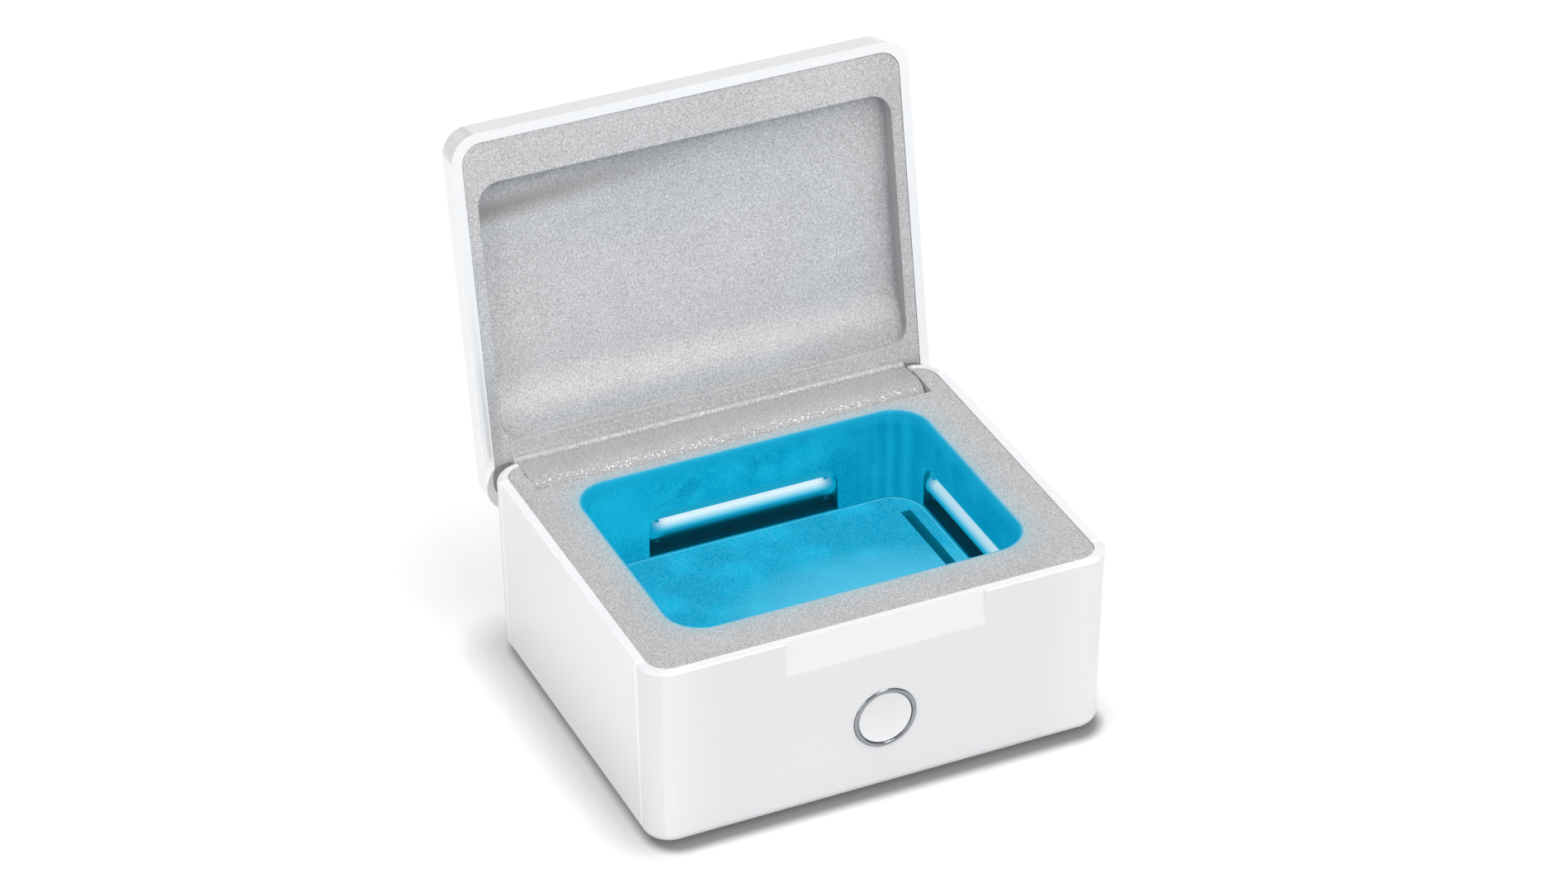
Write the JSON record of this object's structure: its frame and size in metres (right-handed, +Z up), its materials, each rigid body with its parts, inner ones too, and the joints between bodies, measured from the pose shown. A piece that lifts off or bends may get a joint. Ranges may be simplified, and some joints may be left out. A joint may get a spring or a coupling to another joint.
{
  "type": "hearing aid dryer",
  "caption": "Small lidded box that dries hearing aids: a chamber lit by ultraviolet lamps, warm air from a fan underneath and a push button in front.",
  "frame": {"origin": "middle of the foot, on the surface that the box stands on", "axes": "+X to the right along the front, +Y from the front to the hinge, +Z up"},
  "size_m": [0.1, 0.1032, 0.1105],
  "materials": {
    "white_shell": "glossy, faintly cool white",
    "silver_plastic": "silver grey with fine sparkle",
    "button_white": "glossy",
    "ring_chrome": "polished",
    "lamp_glass": "lit tube",
    "lamp_metal": "satin",
    "holder_white": "satin",
    "trough_dark": "dark satin",
    "cover_white": "fine grain",
    "foot_rubber": "matt",
    "screw_steel": "satin",
    "pin_steel": "ground",
    "board_green": "solder mask",
    "parts_black": "matt",
    "capacitor_sleeve": "satin",
    "fan_black": "satin",
    "motor_copper": "wound",
    "duct_grey": "matt",
    "heater_ceramic": "matt",
    "heater_aluminium": "bright",
    "magnet_nickel": "plated",
    "plunger_black": "matt"
  },
  "bodies": {
    "base": {"base_shell": "white_shell", "chamber_liner": "silver_plastic", "floor_plate": "silver_plastic", "rear_lamp_trough": "trough_dark", "rear_lamp_tube": "lamp_glass", "rear_lamp_caps": "lamp_metal", "rear_lamp_holders": "holder_white", "side_lamp_trough": "trough_dark", "side_lamp_tube": "lamp_glass", "side_lamp_caps": "lamp_metal", "side_lamp_holders": "holder_white", "button_ring": "ring_chrome", "switch_board": "board_green", "switch_body": "parts_black", "bottom_cover": "cover_white", "foot_ring": "foot_rubber", "case_screws": "screw_steel", "circuit_board": "board_green", "board_parts": "parts_black", "board_capacitors": "capacitor_sleeve", "board_screws": "screw_steel", "power_jack": "parts_black", "jack_pin": "pin_steel", "fan_frame": "fan_black", "fan_motor": "motor_copper", "air_duct": "duct_grey", "fan_screws": "screw_steel", "heater_bars": "heater_ceramic", "heater_fins": "heater_aluminium", "base_magnets": "magnet_nickel", "hinge_pins": "pin_steel"},
    "lid": {"lid_shell": "white_shell", "lid_liner": "silver_plastic", "lid_magnets": "magnet_nickel"},
    "button": {"button_cap": "button_white", "switch_plunger": "plunger_black"},
    "fan": {"fan_wheel": "fan_black"}
  },
  "joints": [
    {"name": "lid_hinge", "type": "hinge", "parent": "base", "child": "lid", "pos_m": [0, 0.03575, 0.03577], "axis": [1, 0, 0], "range_deg": [0, 99.8]},
    {"name": "button_press", "type": "slide", "parent": "base", "child": "button", "axis": [0, 1, 0], "range_m": [0, 0.0008], "stiffness_N_per_m": 1000, "springref_m": -0.0006},
    {"name": "fan_spin", "type": "hinge", "parent": "base", "child": "fan", "pos_m": [-0.0175, -0.0012, 0.0082], "axis": [0, 0, 1], "continuous": true}
  ]
}
